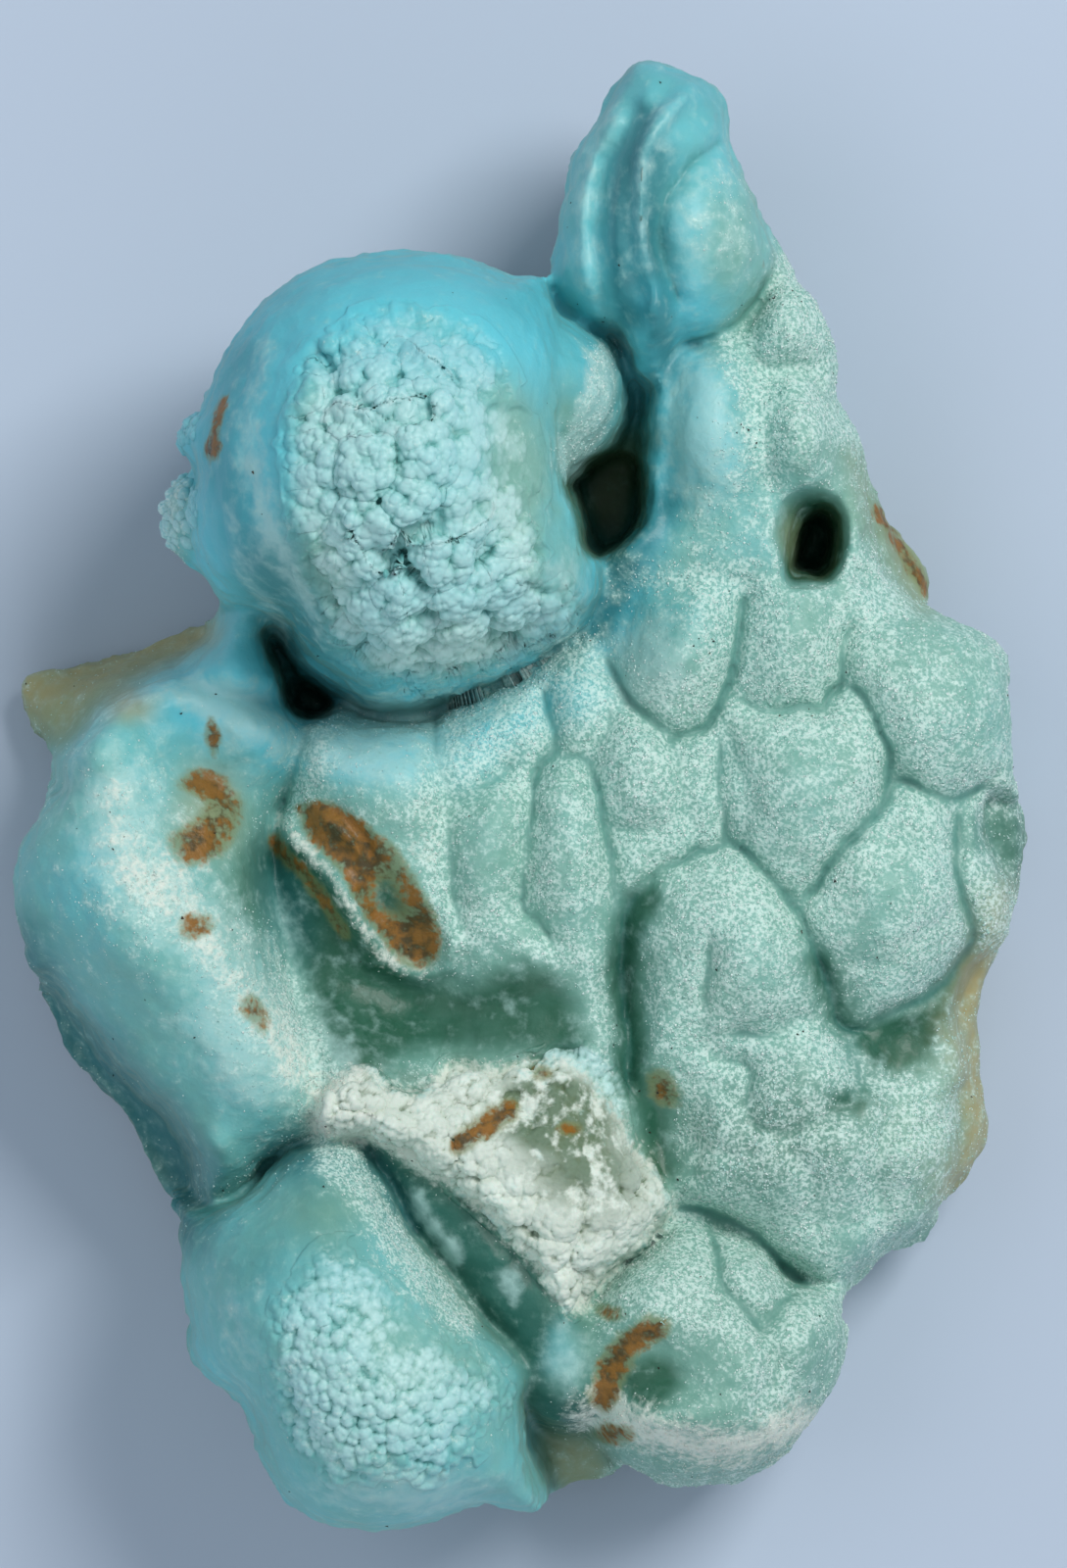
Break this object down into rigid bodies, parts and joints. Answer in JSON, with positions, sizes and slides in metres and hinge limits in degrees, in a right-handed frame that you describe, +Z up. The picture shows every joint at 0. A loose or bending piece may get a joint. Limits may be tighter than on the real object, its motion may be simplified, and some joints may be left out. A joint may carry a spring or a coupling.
{
  "type": "aragonite mineral specimen",
  "caption": "Blue-green aragonite specimen: a large smooth boss with a grainy cap, a pointed horn and a plate of rounded, creased cells on a thin stone back.",
  "frame": {"origin": "middle of the outline's bounding box, on the surface that the specimen rests on", "axes": "+Z up out of the grown face, +Y along the face towards the horn's tip, +X across the face, so that -Z is the flat broken back"},
  "size_m": [0.0877, 0.1261, 0.0529],
  "materials": {
    "aragonite_stone": "translucent blue-green stone, waxy where smooth, frosted and grainy where it is covered in fine crystals, with white crust and brown stains"
  },
  "bodies": {
    "root": {"aragonite": "aragonite_stone"}
  },
  "joints": []
}
